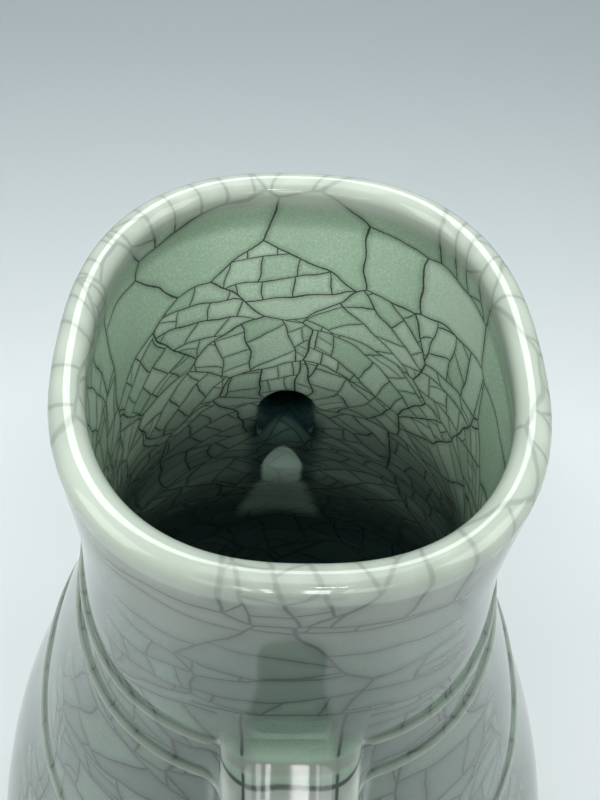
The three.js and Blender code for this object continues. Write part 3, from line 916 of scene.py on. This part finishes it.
foot = {
    "bevel": 0.0012, "arcSteps": 6, "wallSteps": 8,
    "fan": (0.9, 0.6, 0.3),  # the rings of the floor slab's faces
    "sharpest": 40,
    "bareHeight": 0.0022, "glazeEdge": 0.08, "rustReach": 1.9, "rustShare": 0.75,
    "ragged": 0.0012, "raggedScale": 160.0, "grainScale": 900.0, "bareRoughness": 0.85,
    "clayDark": (0.085, 0.05, 0.032, 1), "clayLight": (0.20, 0.13, 0.085, 1),
    "rustColour": (0.16, 0.10, 0.06, 1),
}


def footPiece():
    # its section runs from the top of the inner face down, round the resting edge and up outside
    b, w = foot["bevel"], vase["footWall"]
    arc = np.linspace(0, math.pi / 2, foot["arcSteps"] + 1)
    inner = [(z, w) for z in np.linspace(vase["footHeight"], b, foot["wallSteps"])[:-1]]
    innerArc = [(b - b * math.sin(t), w - b + b * math.cos(t)) for t in arc]
    outerArc = [(b - b * math.cos(t), b - b * math.sin(t)) for t in arc]
    outer = [(z, 0.0) for z in np.linspace(b, vase["footHeight"], foot["wallSteps"])[1:]]
    section = np.array(inner + innerArc + outerArc + outer)
    points = rings(section[:, 0], section[:, 1])
    skin = layOut(points[::-1])[::-1]
    skin[..., 2] += outerSkin[0, 0, 2] - skin[-1, 0, 2]
    skin = np.concatenate([skin, np.zeros(skin.shape[:2] + (1,))], axis=-1)
    ringPiece("footRing", "foot_ring", points, normalsOf(points), skin, footGlaze)


def footMaterial():
    # celadon glaze that stops above the resting edge, with an iron-brown line where it ends
    material = wallGlaze.copy()
    material.name = "footGlazeAndBiscuit"
    g = Graph(material.node_tree)
    shader = next(n for n in material.node_tree.nodes if n.type == "BSDF_PRINCIPLED")
    glazeColour = shader.inputs["Base Color"].links[0].from_socket
    place, bare = g.place(), foot["bareHeight"]
    ragged = g.minus(g.noise(place, foot["raggedScale"], 3.0), 0.5)
    edge = g.minus(g.parts(place)[2], g.times(ragged, foot["ragged"]))
    glazed = g.ramp(edge, bare * (1 - foot["glazeEdge"]), bare * (1 + foot["glazeEdge"]))
    clay = g.mix(g.noise(place, foot["grainScale"], 4.0), foot["clayDark"], foot["clayLight"])
    rust = g.ramp(edge, bare, bare * foot["rustReach"], foot["rustShare"], 0.0)
    colour = g.mix(glazed, clay, g.mix(rust, glazeColour, foot["rustColour"]))
    roughness = g.ramp(glazed, 0.0, 1.0, foot["bareRoughness"], glazeLook["roughness"])
    g.tree.links.new(colour, shader.inputs["Base Color"])
    g.tree.links.new(roughness, shader.inputs["Roughness"])
    return material


footGlaze = footMaterial()
footPiece()


def floorPiece():
    # a slab: the outer wall's strip between two heights, closed by a fan above and below
    rows = rowsBetween(vase["footHeight"], vase["floorTop"])
    strip = outerGrid[rows]
    under, over = ([row * np.array([s, s, 1]) for s in foot["fan"]] for row in (strip[0], strip[-1]))
    layers = np.concatenate([under[::-1], strip, over])
    middles = [[0, 0, heights[rows[0]]], [0, 0, heights[rows[-1]]]]
    points = np.concatenate([layers.reshape(-1, 3), middles])
    number = np.arange(len(layers) * columnCount).reshape(len(layers), columnCount)
    around = np.roll(number, -1, axis=1)
    quads = np.stack([number[:-1], around[:-1], around[1:], number[1:]], -1).reshape(-1, 4)
    low, high = len(points) - 2, len(points) - 1
    bottom = np.stack([np.full(columnCount, low), around[0], number[0]], -1)
    upper = np.stack([np.full(columnCount, high), number[-1], around[-1]], -1)
    faces = [quads, np.concatenate([bottom, upper])]
    obj = makeMesh("baseFloor", points, faces, material=floorGlaze)
    obj.data.set_sharp_from_angle(angle=math.radians(foot["sharpest"]))
    settle(obj, "base_floor")


floorPiece()
print("foot and floor made")


camera = {
    "fromLip": (-0.0086, -0.1420, 0.1451),  # from the middle of the lip's top to the lens
    "yaw": -3.67, "pitch": 49.43, "roll": 3.84,
    "focalPixels": 923.6, "longSide": 800, "sensor": 36.0,
}


def makeCamera():
    # fitted to the outlines of the lip, the strings and the belly in a picture 600 wide and 800 high
    yaw, pitch, roll = (math.radians(camera[k]) for k in ("yaw", "pitch", "roll"))
    forward = Vector((-math.sin(yaw) * math.cos(pitch), math.cos(yaw) * math.cos(pitch),
                      -math.sin(pitch)))
    right = Vector((math.cos(yaw), math.sin(yaw), 0))
    up = right.cross(forward)
    rightRolled = right * math.cos(roll) + up * math.sin(roll)
    upRolled = up * math.cos(roll) - right * math.sin(roll)
    data = bpy.data.cameras.new("camera")
    data.sensor_width = camera["sensor"]
    data.lens = camera["focalPixels"] * camera["sensor"] / camera["longSide"]
    data.clip_start, data.clip_end = 0.01, 50
    obj = linked("camera", data)
    turn = Matrix((rightRolled, upRolled, -forward)).transposed().to_4x4()
    place = Vector(camera["fromLip"]) + Vector((0, 0, top))
    obj.matrix_world = Matrix.Translation(place) @ turn
    bpy.context.scene.camera = obj
    return place, rightRolled, upRolled, forward, turn


lensPlace, lensRight, lensUp, lensForward, lensTurn = makeCamera()

# The table top is painted shade: lighter in front, darker towards the back, where less light falls.
table = {
    "half": 6.0, "roughness": 0.7, "fade": (-0.25, 0.9),
    "near": (0.845, 0.89, 0.89, 1), "far": (0.395, 0.46, 0.47, 1),
}


def makeFloor():
    corners = np.array([[-1, -1, 0], [1, -1, 0], [1, 1, 0], [-1, 1, 0]]) * table["half"]
    material, g = newMaterial("tableTop")
    # painted shade, darker towards the back
    colour = g.mix(g.ramp(g.parts(g.place())[1], *table["fade"]), table["near"], table["far"])
    g.surface({"Base Color": colour, "Roughness": table["roughness"]})
    plane = makeMesh("tableTop", corners, [np.array([[0, 1, 2, 3]])], material=material)


makeFloor()


def areaLight(name, place, target, size, power, diffuse=True, glossy=True):
    data = bpy.data.lights.new(name, "AREA")
    data.shape = "RECTANGLE"
    data.size, data.size_y = size
    data.energy = power
    lamp = linked(name, data)
    lamp.visible_diffuse, lamp.visible_glossy = diffuse, glossy
    lamp.location = place
    lamp.rotation_euler = (Vector(target) - Vector(place)).to_track_quat("-Z", "Y").to_euler()
    return lamp


studio = {
    "target": (0, 0, 0.3),
    "keys": [((-0.60, -0.78, 1.80), 14.5), ((0.60, -0.78, 1.80), 11.0), ((0.0, -0.80, 1.62), 6.2)],
    "keySize": (0.7, 0.2),
    "topPlace": (0.06, -0.02, 1.95), "topSize": (1.5, 0.8), "topPower": 10.5,
    # panels that only show in the glaze: place, size, brightness
    "panels": [("leftPanel", (-1.1, -0.25, 1.10), (0.8, 0.9), 4.0),
               ("rightPanel", (1.1, -0.25, 1.10), (0.8, 0.9), 4.0),
               ("backPanel", (-0.1, 1.1, 1.75), (1.0, 0.7), 9.0)],
    "cardHalf": 0.13, "cardBelow": 0.135, "cardBack": 0.004,
    "apron": (0.06, -0.29, 0.15, 0.375),  # half width, place in front, low and high edge
    "cardColour": (0.02, 0.022, 0.022, 1), "cardRoughness": 0.6,
    # windows mirrored in the front lug: how far right of the lens, how wide, how bright
    "slits": [(0.0, 0.150, 0.8), (-0.092, 0.050, 3.2), (-0.044, 0.018, 6.5), (-0.0165, 0.011, 12.0),
              (0.024, 0.018, 16.0), (0.053, 0.010, 6.0), (0.088, 0.050, 3.2)],
    "slitBelow": 0.1425, "slitHeight": 0.095,
    "dots": [0.0244, 0.0328, 0.0412], "dotBelow": 0.05, "dotSize": 0.0056, "dotLevel": 75.0,
}


def besideLens(right, below, back=0.0):
    return lensPlace + lensRight * right - lensUp * below - lensForward * back


def makeCard():
    # a dark card round the lens keeps the light off the front of the neck and out of the depths,
    # and a narrow one below it is what the lug's top mirrors
    half, deep = studio["cardHalf"], studio["cardBelow"]
    corners = [tuple(besideLens(x, below, studio["cardBack"]))
               for x, below in ((-half, 0), (half, 0), (half, deep), (-half, deep))]
    half, front, low, high = studio["apron"]
    corners += [(-half, front, low), (half, front, low), (half, front, high), (-half, front, high)]
    material, g = newMaterial("shadeCard")
    g.surface({"Base Color": studio["cardColour"], "Roughness": studio["cardRoughness"]})
    faces = [np.array([[0, 1, 2, 3], [4, 5, 6, 7]])]
    card = makeMesh("shadeCard", np.array(corners), faces, material=material)
    card.visible_camera = False


def glowing(size, level):
    # the power of a lamp of this size and brightness
    return level * math.pi * size[0] * size[1]


def mirroredLamp(name, right, below, size, level):
    # a lamp beside the lens that shows in the glaze and lights nothing
    place = besideLens(right, below)
    lamp = areaLight(name, place, place + lensForward, size, glowing(size, level), diffuse=False)
    lamp.matrix_world = Matrix.Translation(place) @ lensTurn
    lamp.visible_camera = False


def makeLight():
    target = studio["target"]
    for k, (place, power) in enumerate(studio["keys"]):
        areaLight(f"keySoftbox{k}", place, target, studio["keySize"], power, glossy=False)
    areaLight("topSoftbox", studio["topPlace"], target, studio["topSize"], studio["topPower"])
    for name, place, size, level in studio["panels"]:
        areaLight(name, place, target, size, glowing(size, level), diffuse=False)
    for k, (x, wide, level) in enumerate(studio["slits"]):
        mirroredLamp(f"window{k}", x, studio["slitBelow"], (wide, studio["slitHeight"]), level)
    for k, x in enumerate(studio["dots"]):
        mirroredLamp(f"dot{k}", x, studio["dotBelow"], (studio["dotSize"],) * 2, studio["dotLevel"])


room = {
    "side": (0.0, 0.9, 0.43, 0.57),  # brightness, from the horizon up
    "glowBehind": (-0.5, -0.9), "glowLow": (0.4, 0.1), "glow": 0.30,
    "darkFront": (0.05, 0.45), "darkBelow": (0.97, 0.85), "dark": 0.10,
    "litColour": (0.92, 0.97, 1.0, 1), "shownColour": (0.42, 0.50, 0.51, 1),
}


def makeRoom():
    # bright overhead and all round but dark in front, with a glow along the horizon behind
    world = bpy.data.worlds.new("room")
    bpy.context.scene.world = world
    world.use_nodes = True
    world.node_tree.nodes.clear()
    g = Graph(world.node_tree)
    parts = g.parts(g.add("TexCoord").outputs["Generated"])
    up, front = parts[2], g.times(parts[1], -1.0)
    glow = g.times(g.ramp(front, *room["glowBehind"]), g.ramp(up, *room["glowLow"]), room["glow"])
    level = g.plus(g.ramp(up, *room["side"]), glow)
    dark = g.times(g.ramp(front, *room["darkFront"]), g.ramp(up, *room["darkBelow"]))
    level = g.add("Mix", {0: dark, 2: level, 3: room["dark"]}).outputs[0]
    lit = g.add("Background", {"Color": room["litColour"], "Strength": level})
    shown = g.add("Background", {"Color": room["shownColour"], "Strength": 1.0})
    seen = g.add("LightPath").outputs["Is Camera Ray"]
    both = g.add("MixShader", {0: seen, 1: lit.outputs[0], 2: shown.outputs[0]})
    g.add("OutputWorld", {"Surface": both.outputs[0]})


makeCard()
makeLight()
makeRoom()
bpy.context.scene.view_settings.view_transform = "Standard"
print("camera, table and light set")
